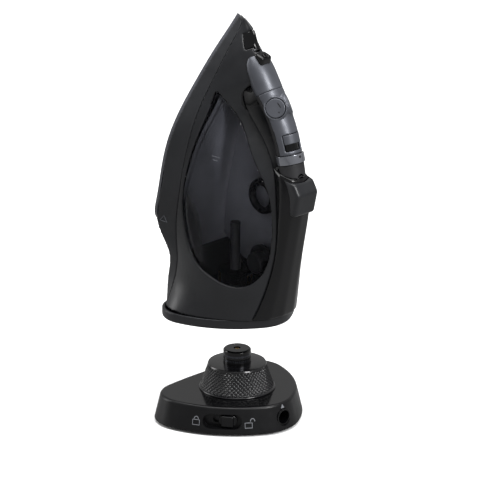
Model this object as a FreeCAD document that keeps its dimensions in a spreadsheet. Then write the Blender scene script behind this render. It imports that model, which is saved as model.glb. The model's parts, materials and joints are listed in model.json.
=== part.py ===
import FreeCAD, Part
import math
import os

import Sketcher
from FreeCAD import Placement, Rotation, Vector

# Two-in-one clothes iron, held nose up above its power base.
# Frame: millimetres, +Z up from the surface under the rubber feet, +X towards the handle and the
# cord inlet, Y across the width. Pieces of the base are drawn in the stand frame and pieces of the
# iron in the iron frame: x from heel to nose, y across, z up from the sole.

os.makedirs("parts", exist_ok=True)
doc = FreeCAD.newDocument("cordless_iron")

SIZES = {
    # placing of the iron and the base
    "stand_shift": -28.7,
    "lean_angle": 13.5,
    "lift_height": 73.0,
    "dock_offset": 10.5,
    # power base
    "feet_height": 2.5,
    "feet_radius": 6.0,
    "bottom_thick": 2.4,
    "base_top": 26.0,
    "base_flare": 5.5,
    "base_wall": 2.5,
    "cone_foot_radius": 34.0,
    "cone_top_radius": 25.7,
    "cone_rise": 23.7,
    "cone_wall": 3.0,
    "post_radius": 12.4,
    "post_rise": 13.2,
    "post_hole_radius": 3.0,
    "groove_depth": 0.8,
    "inlet_radius": 6.2,
    "inlet_height": 13.4,
    "bush_wall": 1.5,
    "slot_length": 35.0,
    "slot_high": 13.0,
    "slot_depth": 4.0,
    "slider_length": 17.0,
    "slider_high": 11.6,
    "slider_thick": 2.0,
    "lock_travel": 9.0,
    # iron
    "iron_length": 287.6,
    "sole_rear": 90.0,
    "sole_thick": 3.0,
    "steam_hole_radius": 1.6,
    "casting_thick": 11.0,
    "cover_thick": 2.0,
    "gasket_thick": 1.0,
    "element_radius": 3.5,
    "shell_wall": 2.6,
    "tank_wall": 2.0,
    "tank_floor": 22.0,
    "tank_rear": 64.0,
    "tank_front": 234.0,
    "heel_height": 9.0,
    "heel_wall": 3.0,
    "socket_gap": 0.6,
    "socket_wall": 2.0,
    "handle_wall": 2.2,
    "button_radius": 8.6,
    "button_thick": 2.4,
    "button_gap": 0.35,
    "stem_radius": 2.2,
    "stem_length": 7.0,
    "selector_outer": 12.6,
    "selector_inner": 9.6,
    "selector_length": 8.0,
    "door_pin_radius": 1.0,
    "screw_radius": 1.6,
    "screw_head_radius": 3.0,
}

sheet = doc.addObject("Spreadsheet::Sheet", "sizes")
for row, (alias, value) in enumerate(SIZES.items(), 1):
    sheet.set(f"A{row}", alias)
    sheet.set(f"B{row}", str(value))
    sheet.setAlias(f"B{row}", alias)
doc.recompute()


def size(alias):
    return float(sheet.get(alias))


def bind(item, **formulas):
    """Bind properties to formulas in which $name is a cell of the sheet."""
    for name, formula in formulas.items():
        item.setExpression(name, formula.replace("$", "sizes."))


def worth(formula):
    """The value of a sum of cells and numbers, such as "$cone_rise - 2"."""
    total = 0.0
    sign = 1
    for word in formula.split():
        if word in ("+", "-"):
            sign = 1 if word == "+" else -1
        elif word.startswith("$"):
            total += sign * size(word[1:])
        else:
            total += sign * float(word)
    return total


LEAN = math.radians(size("lean_angle"))
TO_NOSE = Vector(math.sin(LEAN), 0, math.cos(LEAN))
FROM_SOLE = Vector(math.cos(LEAN), 0, -math.sin(LEAN))
HEEL_Z = size("base_top") + size("lift_height")
STAND = Placement(Vector(size("stand_shift"), 0, 0), Rotation())
IRON = Placement(
    Vector(size("stand_shift") - 55.8, 0, HEEL_Z),
    Rotation(TO_NOSE, Vector(0, -1, 0), FROM_SOLE, "ZXY"),
)
UP = Vector(0, 0, 1)

nodes = []


def keep(item, label, place):
    item.Label = label
    item.Placement = place
    nodes.append(item)
    return item


def aim(frame, at, direction=UP):
    """Placement in a frame whose own Z axis points along a direction."""
    return frame.multiply(Placement(Vector(*at), Rotation(UP, Vector(*direction))))


def in_frame(shape, frame):
    """A copy of a shape, moved by a frame's placement."""
    moved = shape.copy()
    moved.Placement = frame.multiply(moved.Placement)
    return moved


def feature(label, shape, place):
    """A free-form piece, drawn from the sheet's sizes with Part's own functions."""
    item = doc.addObject("Part::Feature", label)
    item.Shape = shape
    return keep(item, label, place.multiply(shape.Placement))


def cylinder(label, radius, height, place):
    item = doc.addObject("Part::Cylinder", label)
    bind(item, Radius=radius, Height=height)
    return keep(item, label, place)


def tube(label, outer, inner, height, place):
    """A round sleeve: a cylinder less a longer, thinner one."""
    wall = doc.addObject("Part::Cylinder", label + "_wall")
    bind(wall, Radius=outer, Height=height)
    bore = doc.addObject("Part::Cylinder", label + "_bore")
    bind(bore, Radius=inner, Height=f"({height}) + 2")
    bore.Placement.Base.z = -1
    cut = doc.addObject("Part::Cut", label)
    cut.Base = wall
    cut.Tool = bore
    return keep(cut, label, place)


def box(label, length, width, height, place):
    """A block centred on its placement in x and y, standing on z = 0."""
    item = doc.addObject("Part::Box", label)
    bind(item, Length=length, Width=width, Height=height)
    doc.recompute()
    centre = Placement(Vector(-item.Length.Value / 2, -item.Width.Value / 2, 0), Rotation())
    return keep(item, label, place.multiply(centre))


def new_body(label):
    body = doc.addObject("PartDesign::Body", label)
    body.Label = label
    return body


def new_sketch(body, plane="XY_Plane", offset=0.0):
    sketch = body.newObject("Sketcher::SketchObject", body.Name + "_sketch")
    origin_plane = [f for f in body.Origin.OriginFeatures if f.Role == plane][0]
    sketch.AttachmentSupport = (origin_plane, "")
    sketch.MapMode = "FlatFace"
    sketch.AttachmentOffset = Placement(Vector(0, 0, offset), Rotation())
    return sketch


def draw(sketch, edges):
    for edge in edges:
        sketch.addGeometry(edge, False)


def pad(label, edges, thick, place, holes=()):
    """A plate padded from an outline, with its holes pocketed right through."""
    body = new_body(label)
    outline = new_sketch(body)
    draw(outline, edges)
    plate = body.newObject("PartDesign::Pad", label + "_pad")
    plate.Profile = outline
    bind(plate, Length=thick)
    if holes:
        marks = new_sketch(body)
        draw(marks, holes)
        pocket = body.newObject("PartDesign::Pocket", label + "_holes")
        pocket.Profile = marks
        pocket.Type = "ThroughAll"
        pocket.Midplane = True
        body.Tip = pocket
    return keep(body, label, place)


def turned(label, profile, place):
    """A turned piece: each corner of its half section is a (radius, height) pair of formulas."""
    body = new_body(label)
    sketch = new_sketch(body, "XZ_Plane")
    corners = []
    for radius, height in profile:
        corners.append(Vector(worth(radius), worth(height), 0))
    for here, there in zip(corners, corners[1:] + corners[:1]):
        sketch.addGeometry(Part.LineSegment(here, there), False)
    count = len(corners)
    for index in range(count):
        sketch.addConstraint(Sketcher.Constraint("Coincident", index, 2, (index + 1) % count, 1))
    for index, (corner, formulas) in enumerate(zip(corners, profile)):
        for kind, axis, value, formula in zip(("DistanceX", "DistanceY"), (-2, -1), corner, formulas):
            if abs(value) < 1e-9:
                sketch.addConstraint(Sketcher.Constraint("PointOnObject", index, 1, axis))
                continue
            mark = sketch.addConstraint(Sketcher.Constraint(kind, -1, 1, index, 1, value))
            bind(sketch, **{f"Constraints[{mark}]": formula})
    spin = body.newObject("PartDesign::Revolution", label + "_spin")
    spin.Profile = sketch
    spin.ReferenceAxis = (sketch, ["V_Axis"])
    spin.Angle = 360
    body.Tip = spin
    return keep(body, label, place)


# ---------------------------------------------------------------- power base

NOSE_END = (33.0, 0.0)
NOSE_ROUND = 34.5
CORNER = (-8.0, 38.0)
CORNER_ROUND = 28.0
SIDE_ROUND = 100.0
REAR_ROUND = 400.0


def arc(centre, radius, start, end):
    """The arc of a circle between two angles, drawn through its middle."""
    def point(angle):
        return Vector(centre[0] + radius * math.cos(angle), centre[1] + radius * math.sin(angle), 0)
    return Part.Arc(point(start), point((start + end) / 2), point(end))


def footprint(grow):
    """The plan of base and heel: a rounded triangle of eight tangent arcs, grown by an offset."""
    nose = Vector(NOSE_END[0], NOSE_END[1], 0)
    corner = Vector(CORNER[0], CORNER[1], 0)
    gap = corner - nose
    to_nose = SIDE_ROUND - NOSE_ROUND
    to_corner = SIDE_ROUND - CORNER_ROUND
    along = (to_nose ** 2 - to_corner ** 2 + gap.Length ** 2) / (2 * gap.Length)
    across = math.sqrt(to_nose ** 2 - along ** 2)
    unit = Vector(gap).normalize()
    side = nose + unit * along + Vector(unit.y, -unit.x, 0) * -across
    if side.y > 0:
        side = nose + unit * along + Vector(unit.y, -unit.x, 0) * across
    rear = Vector(corner.x + math.sqrt((REAR_ROUND - CORNER_ROUND) ** 2 - corner.y ** 2), 0, 0)
    turn_nose = math.atan2(nose.y - side.y, nose.x - side.x)
    turn_corner = math.atan2(corner.y - side.y, corner.x - side.x)
    turn_rear = math.atan2(corner.y - rear.y, corner.x - rear.x)
    full = 2 * math.pi
    return [
        arc(nose, NOSE_ROUND + grow, -turn_nose, turn_nose),
        arc(side, SIDE_ROUND + grow, turn_nose, turn_corner),
        arc(corner, CORNER_ROUND + grow, turn_corner, turn_rear),
        arc(rear, REAR_ROUND + grow, turn_rear, full - turn_rear),
        arc((corner.x, -corner.y), CORNER_ROUND + grow, full - turn_rear, full - turn_corner),
        arc((side.x, -side.y), SIDE_ROUND + grow, full - turn_corner, full - turn_nose),
    ]


def face_of(curves, height=0.0):
    wire = Part.Wire([curve.toShape() for curve in curves])
    face = Part.Face(wire)
    face.translate(Vector(0, 0, height))
    return face


def prism(curves, low, high):
    return face_of(curves, low).extrude(Vector(0, 0, high - low))


def tapered(low_grow, low, high_grow, high):
    wires = []
    for grow, height in ((low_grow, low), (high_grow, high)):
        wire = Part.Wire([curve.toShape() for curve in footprint(grow)])
        wire.translate(Vector(0, 0, height))
        wires.append(wire)
    return Part.makeLoft(wires, True, True)


BASE_LOW = size("feet_height")
BASE_TOP = size("base_top")
WALL = size("base_wall")
FLARE = size("base_flare")
DOCK = Vector(size("dock_offset"), 0, 0)

# The lock's slot lies on the side wall, on a line square to it.
SLOT_ANGLE = math.radians(-56)
SLOT_NORMAL = Vector(math.cos(SLOT_ANGLE), math.sin(SLOT_ANGLE), 0)
SLOT_TANGENT = Vector(-math.sin(SLOT_ANGLE), math.cos(SLOT_ANGLE), 0)
SLOT_MIDDLE = Vector(39.6, -46.3, 13.2)
SLOT_FRAME = STAND.multiply(Placement(SLOT_MIDDLE, Rotation(SLOT_TANGENT, UP, SLOT_NORMAL, "ZXY")))


def stadium(length, high):
    """Two half circles joined by straight edges, about the origin."""
    half = (length - high) / 2
    radius = high / 2
    quarter = math.pi / 2
    return [
        arc((half, 0), radius, -quarter, quarter),
        Part.LineSegment(Vector(half, radius, 0), Vector(-half, radius, 0)),
        arc((-half, 0), radius, quarter, 3 * quarter),
        Part.LineSegment(Vector(-half, -radius, 0), Vector(half, -radius, 0)),
    ]


def slot_prism(length, high, low, top):
    """A stadium block in the slot's frame, moved into the stand frame."""
    shape = prism(stadium(length, high), low, top)
    shape.Placement = STAND.inverse().multiply(SLOT_FRAME)
    return shape


def base_cover():
    outer = tapered(FLARE, BASE_LOW, 0, BASE_TOP)
    rim = [edge for edge in outer.Edges if edge.BoundBox.ZMin > BASE_TOP - 0.01]
    outer = outer.makeFillet(3.0, rim)
    inner = tapered(FLARE - WALL, BASE_LOW - 0.01, -WALL, BASE_TOP - WALL)
    depth = size("slot_depth")
    pocket_wall = 1.6
    length = size("slot_length")
    high = size("slot_high")
    pocket = slot_prism(length + 2 * pocket_wall, high + 2 * pocket_wall, -depth - pocket_wall, 0)
    outer = outer.cut(inner).fuse(pocket.common(outer))
    outer = outer.cut(slot_prism(length, high, -depth, 20))
    rod_slot = slot_prism(size("lock_travel") + 9.5, 5.4, -depth - 20, 0)
    outer = outer.cut(rod_slot)
    inlet = Part.makeCylinder(
        size("inlet_radius") + size("bush_wall"), 30,
        Vector(50, 0, size("inlet_height")), Vector(1, 0, 0),
    )
    neck = Part.makeCylinder(size("cone_foot_radius") - size("cone_wall"), 10, DOCK + UP * (BASE_TOP - 6))
    return outer.cut(inlet).cut(neck)


COVER = base_cover()
feature("base_cover", COVER, STAND)


def feet_spots():
    return [(-26, 40), (-26, -40), (46, 22), (46, -22)]


base_screw_spots = [(-30, 18), (-30, -18), (52, 0)]
screw_holes = [Part.Circle(Vector(x, y, 0), UP, size("screw_radius") + 0.2) for x, y in base_screw_spots]
pad(
    "base_bottom", footprint(FLARE - WALL - 1.2), "$bottom_thick",
    STAND.multiply(Placement(UP * BASE_LOW, Rotation())), screw_holes,
)


def group(shapes):
    """Separate solids kept in one node."""
    return Part.makeCompound(shapes)


def screw(at, direction, length, frame=None):
    """A pan-head screw, its head's underside at a point and its thread along a direction."""
    axis = Vector(*direction)
    point = Vector(*at)
    thread = Part.makeCylinder(size("screw_radius"), length, point, axis)
    head = Part.makeCylinder(size("screw_head_radius"), 1.8, point - axis * 1.8, axis)
    cross = Part.makeBox(3.2, 0.8, 1.0, Vector(-1.6, -0.4, -1.8))
    other = Part.makeBox(0.8, 3.2, 1.0, Vector(-0.4, -1.6, -1.8))
    drive = cross.fuse(other)
    drive.Placement = Placement(point, Rotation(UP, axis))
    return thread.fuse(head).cut(drive)


feet = [Part.makeCylinder(size("feet_radius"), BASE_LOW, Vector(x, y, 0)) for x, y in feet_spots()]
feature("rubber_feet", group(feet), STAND)
base_screws = [screw((x, y, BASE_LOW - 0.01), (0, 0, 1), 9.0) for x, y in base_screw_spots]
feature("base_screws", group(base_screws), STAND)

DOCK_FRAME = STAND.multiply(Placement(DOCK + UP * BASE_TOP, Rotation()))
turned(
    "knurled_cone",
    [
        ("$cone_foot_radius - $cone_wall", "0"),
        ("$cone_foot_radius", "0"),
        ("$cone_foot_radius", "1.2"),
        ("$cone_top_radius + 0.6", "$cone_rise - 0.8"),
        ("$cone_top_radius", "$cone_rise"),
        ("$post_radius + 0", "$cone_rise"),
        ("$post_radius + 0", "$cone_rise - 2.5"),
        ("$cone_top_radius - $cone_wall", "$cone_rise - 2.5"),
    ],
    DOCK_FRAME,
)
post_foot = DOCK_FRAME.multiply(Placement(UP * (size("cone_rise") - 2.5), Rotation()))
turned(
    "contact_post",
    [
        ("$post_hole_radius", "0"),
        ("$post_radius", "0"),
        ("$post_radius", "4.9"),
        ("$post_radius - $groove_depth", "4.9"),
        ("$post_radius - $groove_depth", "6.9"),
        ("$post_radius", "6.9"),
        ("$post_radius", "9.4"),
        ("$post_radius - $groove_depth", "9.4"),
        ("$post_radius - $groove_depth", "11.4"),
        ("$post_radius", "11.4"),
        ("$post_radius", "$post_rise + 1.3"),
        ("$post_radius - 1.2", "$post_rise + 2.5"),
        ("$post_hole_radius", "$post_rise + 2.5"),
    ],
    post_foot,
)
rings = []
for height in (4.9, 9.4):
    ring = Part.makeCylinder(size("post_radius") - 0.3, 2, UP * height)
    rings.append(ring.cut(Part.makeCylinder(size("post_radius") - size("groove_depth"), 2, UP * height)))
feature("contact_rings", group(rings), post_foot)
cylinder("earth_pin", "$post_hole_radius - 0.8", "$post_rise + 1.5", post_foot)

bush_place = aim(STAND, (60, 0, size("inlet_height")), (1, 0, 0))
tube("cord_bush", "$inlet_radius + $bush_wall", "$inlet_radius", "10.5", bush_place)
block_floor = Vector(42, 0, BASE_LOW + size("bottom_thick"))
box("terminal_block", "16", "22", "10", STAND.multiply(Placement(block_floor, Rotation())))

# Lock: slider plate and grip on the side wall, latch bar behind it and a detent spring.
LOCK_OPEN = 4.5


def lock_slider():
    depth = size("slot_depth")
    thick = size("slider_thick")
    plate = prism(stadium(size("slider_length"), size("slider_high")), -depth + 0.3, -depth + 0.3 + thick)
    knob = Part.makeBox(11, 10, 3.2, Vector(-5.5, -5, -depth + 0.3 + thick))
    knob = knob.makeFillet(1.0, knob.Edges[:12])
    stem = Part.makeBox(5, 4, 4.3, Vector(-2.5, -2, -depth - 4))
    shape = plate.fuse(knob).fuse(stem)
    shape.translate(Vector(LOCK_OPEN, 0, 0))
    return shape


feature("lock_slider", lock_slider(), SLOT_FRAME)
latch_depth = size("slot_depth") + 7
box(
    "latch_bar", "26", "7", "3",
    SLOT_FRAME.multiply(Placement(Vector(LOCK_OPEN - 4, 0, -latch_depth), Rotation())),
)
box(
    "detent_spring", "10", "1", "4",
    SLOT_FRAME.multiply(Placement(Vector(-4, -7, -latch_depth), Rotation())),
)


def padlock(open_side):
    """A padlock outline: a frame for the case and a bow above it, to one side when open."""
    case = Part.makeBox(5, 4, 0.5, Vector(-2.5, -3.2, 0)).cut(Part.makeBox(4, 3, 1, Vector(-2, -2.7, -0.2)))
    bow = Part.makeCylinder(1.9, 0.5).cut(Part.makeCylinder(1.4, 1, Vector(0, 0, -0.2)))
    bow = bow.common(Part.makeBox(4, 2, 1, Vector(-2, 0, 0)))
    legs = [Part.makeBox(0.5, 0.9, 0.5, Vector(x, -0.9, 0)) for x in (-1.9, 1.4)]
    bow = bow.fuse(legs[0])
    if not open_side:
        bow = bow.fuse(legs[1])
    bow.translate(Vector(open_side, 1.7, 0))
    return case.fuse(bow)


icons = []
for shift, open_side in ((-24.5, 0), (23.5, 3.4)):
    icon = padlock(open_side)
    sink = -abs(shift) * 0.115 + 0.1
    icon.Placement = Placement(Vector(shift, 0, sink), Rotation(Vector(0, 1, 0), shift * 0.55))
    icons.append(icon)
icons_on_wall = in_frame(group(icons), STAND.inverse().multiply(SLOT_FRAME))
feature("lock_icons", icons_on_wall.cut(COVER), STAND)

mark = Part.Face(Part.makePolygon([Vector(-1.9, 0, 0), Vector(1.9, 0, 0), Vector(0, 3.4, 0), Vector(-1.9, 0, 0)]))
mark_x = NOSE_END[0] + NOSE_ROUND + FLARE * (BASE_TOP - 21.5) / (BASE_TOP - BASE_LOW)
mark = mark.extrude(Vector(0, 0, 0.8))
mark.Placement = Placement(
    Vector(mark_x - 0.4, 0, 21.5), Rotation(Vector(0, 1, 0), Vector(-0.23, 0, 1), Vector(1, 0, 0.23), "ZXY")
)
feature("alignment_mark", mark.cut(COVER), STAND)


# ---------------------------------------------------------------- iron shell

# Half sections of the iron, from the middle of the underside over the flank to the middle of the
# top: (half width, height above the sole). The corners are skirt edge, lower ridge, two on the
# flank, upper ridge, shoulder and middle.
STATIONS = [
    (286.6, [(1.6, 3), (1.4, 6.5), (1.2, 8), (1.0, 9), (0.8, 10), (0.4, 10.6), (0, 10.9)]),
    (272, [(11, 3), (9.3, 10.5), (7.6, 15), (5.8, 20), (3.8, 25), (1.8, 27.4), (0, 27.9)]),
    (256, [(22.5, 3), (19.6, 11.8), (16, 20), (12, 30), (7.4, 38), (4, 41), (0, 42)]),
    (240, [(32.4, 3), (28.4, 13), (25, 19), (22, 25.5), (14, 41), (7.5, 44), (0, 44.6)]),
    (224, [(41.5, 3), (36.4, 13.6), (29, 23.5), (22, 32), (15.5, 38.5), (8, 38), (0, 37)]),
    (206, [(50.8, 3), (44.5, 14.6), (33, 27), (20.5, 39.5), (9.4, 50), (5, 47.5), (0, 46.5)]),
    (178, [(60.3, 3), (52.3, 17.2), (38.5, 38), (23.5, 60.5), (9, 81), (5, 79.5), (0, 79)]),
    (150, [(62.6, 3), (54.6, 18.5), (43, 48), (28.5, 75), (14, 97), (8, 98), (0, 98.2)]),
    (115, [(61.6, 3), (54, 20), (47, 52), (33, 84), (16, 108), (9, 109), (0, 109.2)]),
    (91, [(58, 3), (51, 20.5), (49.5, 50), (38, 85), (16.5, 110), (10, 111), (0, 111.2)]),
    (72, [(51.5, 10.5), (48.8, 24), (51.5, 48), (42, 86), (19.5, 110), (12, 111), (0, 111.2)]),
    (50, [(47, 17), (48, 27.5), (52.5, 49), (44.5, 85), (25, 109), (13, 110), (0, 110.2)]),
    (25, [(45, 18), (52, 28), (58.5, 49), (49.5, 81), (31.5, 105), (15, 106), (0, 106.2)]),
    (2, [(41, 17.5), (57, 29), (63.6, 47), (52.5, 77), (35.6, 99), (16, 100), (0, 100.2)]),
    (-14, [(39, 17), (58.5, 29.5), (65, 46), (53.5, 76), (36.2, 98), (17, 99), (0, 99.2)]),
]


def inset(half, depth):
    """Move a half section's corners inwards, square to the edges beside each."""
    low = (0.0, half[0][1])
    points = [low] + list(half)
    moved = []
    for index, (across, high) in enumerate(points):
        before = points[index - 1] if index else (-points[1][0], points[1][1])
        after = points[index + 1] if index + 1 < len(points) else (-points[-2][0], points[-2][1])
        edges = [(across - before[0], high - before[1]), (after[0] - across, after[1] - high)]
        normals = []
        for run, rise in edges:
            length = math.hypot(run, rise) or 1.0
            normals.append((-rise / length, run / length))
        middle = (normals[0][0] + normals[1][0], normals[0][1] + normals[1][1])
        length = math.hypot(*middle) or 1.0
        cosine = max(0.5, (normals[0][0] * middle[0] + normals[0][1] * middle[1]) / length)
        shift = depth / cosine / length
        moved.append((max(0.0, across + middle[0] * shift), high + middle[1] * shift))
    moved[-1] = (0.0, moved[-1][1])
    return moved[1:]


def curve_through(points):
    curve = Part.BSplineCurve()
    curve.interpolate(points)
    return curve.toShape()


def section(station, half):
    """The closed section wire at a station: straight skirt and underside, crowned flanks and crest."""
    right = [Vector(station, across, high) for across, high in half]
    left = [Vector(station, -across, high) for across, high in reversed(half)]
    if len(half) < 7:
        return Part.makePolygon(right + left[1:] + [right[0]])
    return Part.Wire([
        Part.makeLine(left[-1], right[0]),
        Part.makeLine(right[0], right[1]),
        curve_through(right[1:5]),
        curve_through(right[4:] + left[1:3]),
        curve_through(left[2:6]),
        Part.makeLine(left[5], left[6]),
    ])


def loft(stations):
    return Part.makeLoft([section(x, half) for x, half in stations], True, False)


def envelope(depth):
    """The iron's outer form without its rear housing, or the same inset by a wall."""
    stations = [(x, inset(half, depth) if depth else half) for x, half in STATIONS]
    if depth:
        tip_x = stations[0][0]
        blunt = [(2.0 - 0.2 * step, 7 + 0.8 * step) for step in range(6)] + [(0, 12.5)]
        stations[0] = (tip_x - 12 - depth, blunt)
    return loft(stations)


OUTER = envelope(0)
INNER = envelope(size("shell_wall"))
TANK_OUT = envelope(size("shell_wall") + 0.4)
TANK_IN = envelope(size("shell_wall") + 0.4 + size("tank_wall"))


def in_iron(shape):
    """A shape drawn in the stand frame, moved into the iron frame."""
    return in_frame(shape, IRON.inverse().multiply(STAND))


def block(low, high):
    return Part.makeBox(high[0] - low[0], high[1] - low[1], high[2] - low[2], Vector(*low))


def mirrored(shape):
    return shape.mirror(Vector(0, 0, 0), Vector(0, 1, 0))


def largest(shape):
    return max(shape.Solids, key=lambda solid: solid.Volume)


HEEL_HIGH = size("heel_height")
HEEL_ZONE = in_iron(Part.makeBox(400, 400, 200, Vector(-200, -200, HEEL_Z + HEEL_HIGH - 200)))
SHELL = OUTER.cut(INNER).cut(HEEL_ZONE)


def below_ridge():
    """The room below the lower ridge, where skirt and body shell part."""
    return loft([(x, [(90, -20), (90, half[1][1]), (0, half[1][1])]) for x, half in STATIONS])


def sole_outline(shrink, rear, lift=0.0):
    """The teardrop plan of the sole, less a margin, squared off at the rear."""
    tip = size("iron_length") - 0.4 - 2.2 * shrink
    half = [(tip, 0.0)]
    for x, corners in STATIONS[1:9]:
        if rear + 8 < x < tip - 6 and corners[0][0] - shrink > 3:
            half.append((x, corners[0][0] - 0.8 - shrink))
    half += [(rear + 6, half[-1][1] - 2.4), (rear, half[-1][1] - 8)]
    right = Part.BSplineCurve()
    right.interpolate([Vector(x, y, lift) for x, y in half])
    left = Part.BSplineCurve()
    left.interpolate([Vector(x, -y, lift) for x, y in reversed(half)])
    end = Part.LineSegment(Vector(half[-1][0], half[-1][1], lift), Vector(half[-1][0], -half[-1][1], lift))
    return [right, end, left]


def at_sole(height):
    return IRON.multiply(Placement(Vector(0, 0, height), Rotation()))


steam_holes = []
for step in range(8):
    for side in (-1, 1):
        spot = Vector(252 - 14 * step, side * (7 + 4.2 * step), 0)
        steam_holes.append(Part.Circle(spot, UP, size("steam_hole_radius")))
        steam_holes.append(Part.Circle(spot - Vector(9, side * 3.5, 0), UP, size("steam_hole_radius")))
SOLE_REAR = size("sole_rear")
pad("soleplate", sole_outline(0, SOLE_REAR), "$sole_thick", at_sole(0), steam_holes)

CASTING_LOW = size("sole_thick")
CASTING_TOP = CASTING_LOW + size("casting_thick")
SOLE_BLOCK = prism(sole_outline(0, SOLE_REAR), -1, CASTING_LOW)
CASTING_BLOCK = prism(sole_outline(6.5, SOLE_REAR + 7), CASTING_LOW, CASTING_TOP)


def element():
    """The sheathed heating element: a U of tube with a terminal at each leg's end."""
    radius = size("element_radius")
    leg = 24.0
    start = 106.0
    bend = 212.0
    high = CASTING_LOW + 5.5
    path = Part.Wire([
        Part.LineSegment(Vector(start, leg, high), Vector(bend, leg, high)).toShape(),
        Part.Arc(Vector(bend, leg, high), Vector(bend + leg, 0, high), Vector(bend, -leg, high)).toShape(),
        Part.LineSegment(Vector(bend, -leg, high), Vector(start, -leg, high)).toShape(),
    ])
    ring = Part.Wire([Part.Circle(Vector(start, leg, high), Vector(1, 0, 0), radius).toShape()])
    solid = path.makePipeShell([ring], True, True)
    for side in (-1, 1):
        solid = solid.fuse(Part.makeCylinder(2.0, 13, Vector(start + 4, side * leg, high)))
    return solid


ELEMENT = element()
feature("heating_element", ELEMENT, IRON)
feature("heater_casting", CASTING_BLOCK.cut(ELEMENT), IRON)
GASKET_TOP = CASTING_TOP + size("gasket_thick")
gasket = prism(sole_outline(13, 122), CASTING_TOP, GASKET_TOP).cut(
    prism(sole_outline(17, 126), CASTING_TOP - 1, GASKET_TOP + 1)
)
feature("chamber_gasket", gasket, IRON)
pad("steam_chamber_cover", sole_outline(13, 122), "$cover_thick", at_sole(GASKET_TOP))
COVER_TOP = GASKET_TOP + size("cover_thick")
cylinder("thermostat", "8", "4", at_sole(COVER_TOP).multiply(Placement(Vector(150, 0, 0), Rotation())))
cylinder("thermal_fuse", "2", "16", aim(IRON, (132, 16, COVER_TOP + 2.1), (1, 0, 0)))
cylinder("steam_valve", "4", "5", at_sole(COVER_TOP).multiply(Placement(Vector(200, 0, 0), Rotation())))

# Windows: a leaf on each flank, cut straight across the width.
WINDOW = [
    (227, 19), (211, 36), (192, 53), (175, 69.5), (162, 83), (149, 92.5), (131, 100.5), (112, 105),
    (93, 106.5), (77, 104.5), (67.5, 98), (64.5, 87), (66.5, 71), (70.5, 55), (79, 42), (94, 32),
    (115, 25.5), (140, 22.5), (165, 21.8), (185, 21.8), (205, 21), (227, 19),
]


def window_prism():
    rim = Part.BSplineCurve()
    rim.interpolate([Vector(x, 6, high) for x, high in WINDOW])
    return Part.Face(Part.Wire([rim.toShape()])).extrude(Vector(0, 80, 0))


LEAF = window_prism()
BODY = SHELL.cut(below_ridge()).cut(CASTING_BLOCK)
pane = BODY.common(LEAF)
feature("tank_window_left", largest(mirrored(pane)), IRON)
feature("tank_window_right", largest(pane), IRON)


# Filler door: a strip of the nose's crest, hinged at its rear on a pin across the crest.
HINGE = Vector(266.0, 0, 30.6)
DOOR_RUN = Vector(0.75, 0, -0.66).normalize()
DOOR_FRAME = Placement(
    HINGE, Rotation(DOOR_RUN, Vector(0, 1, 0), Vector(-DOOR_RUN.z, 0, DOOR_RUN.x), "ZXY")
)
DOOR_LONG = 17.0
DOOR_THICK = 2.5
KNUCKLE = 1.9


def door_plan(grow):
    """The room of the door over the crest: a tongue at the hinge, then its full width."""
    tongue = block((-0.1, -2.4 - grow, -6), (4, 2.4 + grow, 12))
    wide = block((3.0 - grow, -8.6 - grow, -5.6 - grow), (DOOR_LONG + grow, 8.6 + grow, 12))
    return in_frame(tongue.fuse(wide), DOOR_FRAME)


def across_hinge(radius, half):
    return Part.makeCylinder(radius, 2 * half, HINGE - Vector(0, half, 0), Vector(0, 1, 0))


def sunk(depth):
    """The iron's outer form, pushed in square to the crest at the door."""
    return OUTER.translated(Vector(DOOR_RUN.z, 0, -DOOR_RUN.x) * depth)


door = OUTER.common(door_plan(0)).cut(sunk(DOOR_THICK))
door = door.fuse(across_hinge(KNUCKLE, 2.4)).cut(across_hinge(size("door_pin_radius") + 0.05, 5))
feature("filler_door", largest(door), IRON)
cylinder("door_pin", "$door_pin_radius", "8.4", aim(IRON, HINGE - Vector(0, 4.2, 0), (0, 1, 0)))
neck_start = Vector(268, 0, 21)
neck_run = Vector(-1, 0, 0.12)
tube("filler_neck", "3", "2.2", "37", aim(IRON, neck_start, neck_run))
NECK = Part.makeCylinder(3.0, 39, neck_start, neck_run)
POUR = Part.makeCylinder(2.2, 9, neck_start + Vector(1.6, 0, 0), Vector(-DOOR_RUN.z, 0, DOOR_RUN.x))
WELL = OUTER.common(door_plan(0.4)).cut(sunk(DOOR_THICK + 0.5))
WELL = WELL.fuse(across_hinge(KNUCKLE + 0.4, 2.8)).fuse(across_hinge(size("door_pin_radius"), 4.2))
BODY = BODY.cut(LEAF).cut(mirrored(LEAF)).cut(WELL).cut(door).cut(NECK).cut(POUR)

TANK_ZONE = block((size("tank_rear"), -90, size("tank_floor")), (size("tank_front"), 90, 130))
wall = size("tank_wall")
TANK_ROOM = block(
    (size("tank_rear") + wall, -90, size("tank_floor") + wall), (size("tank_front") - wall, 90, 130)
)
tank = TANK_OUT.common(TANK_ZONE).cut(TANK_IN.common(TANK_ROOM)).cut(NECK)
feature("water_tank", largest(tank), IRON)
cylinder("pickup_tube", "4.5", "44", aim(IRON, (68, 20, 71), (0.9724, 0, -0.2334)))
turned(
    "intake_filter",
    [("0", "0"), ("15", "0"), ("15", "2"), ("9.5", "2"), ("9.5", "11"), ("8.3", "12.2"), ("0", "12.2")],
    aim(IRON, (82, 6, 89), (0, 1, 0)),
)
hose = doc.addObject("Part::Torus", "pump_hose")
hose.Radius1 = 13
hose.Radius2 = 3.4
keep(hose, "pump_hose", aim(IRON, (142, 8, 76), (0, 1, 0)))

# ---------------------------------------------------------------- heel

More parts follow.
